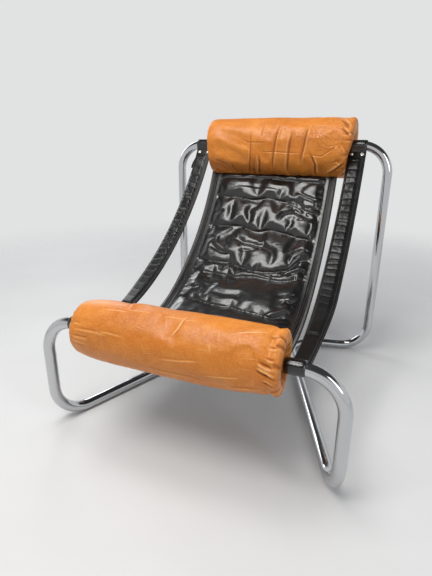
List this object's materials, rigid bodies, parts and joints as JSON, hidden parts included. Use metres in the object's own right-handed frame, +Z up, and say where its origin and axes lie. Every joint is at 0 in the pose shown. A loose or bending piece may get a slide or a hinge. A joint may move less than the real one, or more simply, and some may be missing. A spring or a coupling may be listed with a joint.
{
  "type": "cantilever lounge chair",
  "caption": "Low cantilever lounge chair: bent chrome tube frame with a slung padded leather seat, ruched side straps, a round front bolster and a tan leather head roll.",
  "frame": {"origin": "on the floor, in the middle of the chair's plan", "axes": "+Z up, -Y towards the front bolster, +X to the right of someone who looks at the chair's front"},
  "size_m": [0.728, 0.87, 0.7572],
  "materials": {
    "chrome_tube": "polished chrome plate on steel tube",
    "plain_steel": "plain turned steel",
    "rivet_steel": "polished domed heads",
    "black_leather": "smooth, semi-gloss",
    "tan_leather": "worn aniline, creased",
    "wadding": "soft fibre",
    "foam": "open-cell foam"
  },
  "bodies": {
    "root": {"frame_left": "chrome_tube", "frame_right": "chrome_tube", "front_spigot": "plain_steel", "back_spigot": "plain_steel", "joint_screws": "plain_steel", "sling_base": "black_leather", "sling_wadding": "wadding", "sling_panel": "black_leather", "sling_band_left": "black_leather", "sling_band_right": "black_leather", "strap_left": "black_leather", "strap_right": "black_leather", "strap_facing_left": "black_leather", "strap_facing_right": "black_leather", "back_rivets": "rivet_steel", "front_rivets": "rivet_steel", "bolster_foam": "foam", "bolster_cover": "tan_leather", "head_roll_foam": "foam", "head_roll_cover": "tan_leather"}
  },
  "joints": []
}
